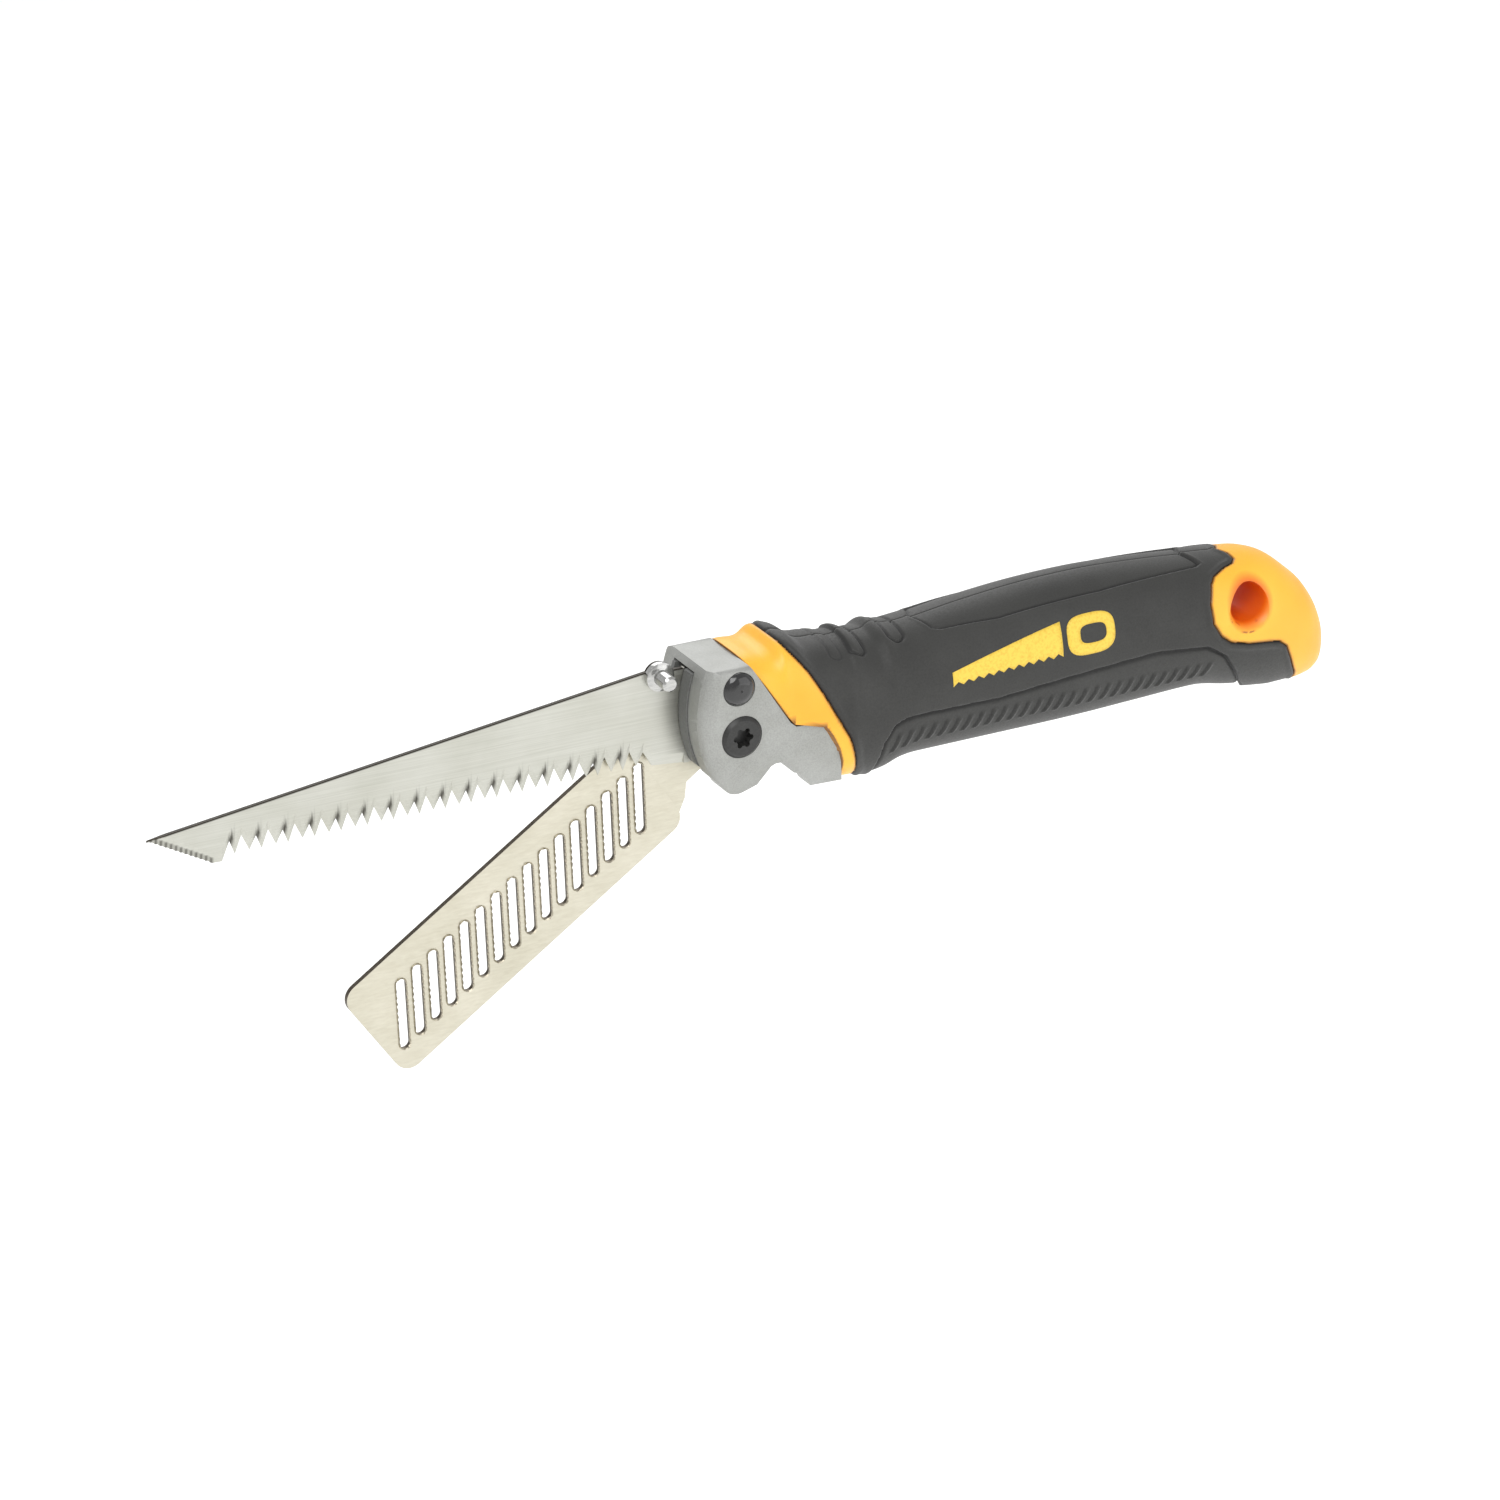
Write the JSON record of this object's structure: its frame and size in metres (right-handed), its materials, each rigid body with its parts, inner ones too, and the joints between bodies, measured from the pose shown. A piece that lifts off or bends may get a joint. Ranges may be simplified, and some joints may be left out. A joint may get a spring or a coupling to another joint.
{
  "type": "drywall saw",
  "caption": "Folding jab saw: pointed toothed blade and slotted rasp plate on one pivot in a cast locking head, with a slotted rubber-covered handle and a hanging hole.",
  "frame": {"origin": "centre of the hanging hole at the handle's tail, on the plane where the two handle shells meet", "axes": "+X along the handle from the pivot to the tail, +Z from the belly to the spine, +Y from the button side to the far side, along the hanging hole"},
  "size_m": [0.308, 0.029, 0.0923],
  "materials": {
    "cast_head": "grey painted die casting, satin",
    "liner_nylon": "dark glass-filled nylon, matte",
    "black_oxide": "black oxide steel, satin",
    "plain_steel": "turned steel, satin",
    "blade_steel": "hardened blade steel, fine lengthwise grind",
    "stud_steel": "polished turned steel",
    "rasp_steel": "stamped stainless sheet, warm satin",
    "button_black": "moulded acetal, glossy",
    "spring_steel": "spring steel, bright",
    "core_yellow": "yellow moulded nylon, satin",
    "grip_rubber": "charcoal thermoplastic rubber, fine matte grain"
  },
  "bodies": {
    "handle": {"head_casting": "cast_head", "liner_near": "liner_nylon", "liner_far": "liner_nylon", "pivot_screw": "black_oxide", "pivot_nut": "black_oxide", "washer_middle": "plain_steel", "washer_far": "plain_steel", "lock_leaf": "spring_steel", "leaf_post": "plain_steel", "handle_core_left": "core_yellow", "handle_core_right": "core_yellow", "grip_left": "grip_rubber", "grip_right": "grip_rubber", "handle_screws": "plain_steel", "head_pins": "plain_steel", "stop_pin": "plain_steel"},
    "blade": {"saw_blade": "blade_steel", "thumb_stud": "stud_steel"},
    "rasp": {"rasp_carrier": "rasp_steel", "rasp_sheet": "rasp_steel", "rasp_rivets": "rasp_steel"},
    "button": {"lock_button": "button_black", "lock_plunger": "plain_steel"}
  },
  "joints": [
    {"name": "blade_fold", "type": "hinge", "parent": "handle", "child": "blade", "pos_m": [-0.1385, 0, -0.0065], "axis": [0, -1, 0], "range_deg": [0, 176]},
    {"name": "rasp_fold", "type": "hinge", "parent": "handle", "child": "rasp", "pos_m": [-0.1385, 0, -0.0065], "axis": [0, -1, 0], "range_deg": [-34, 138]},
    {"name": "lock_press", "type": "slide", "parent": "handle", "child": "button", "axis": [0, 1, 0], "range_m": [0, 0.0032], "stiffness_N_per_m": 900, "deforming": ["lock_leaf"]}
  ]
}
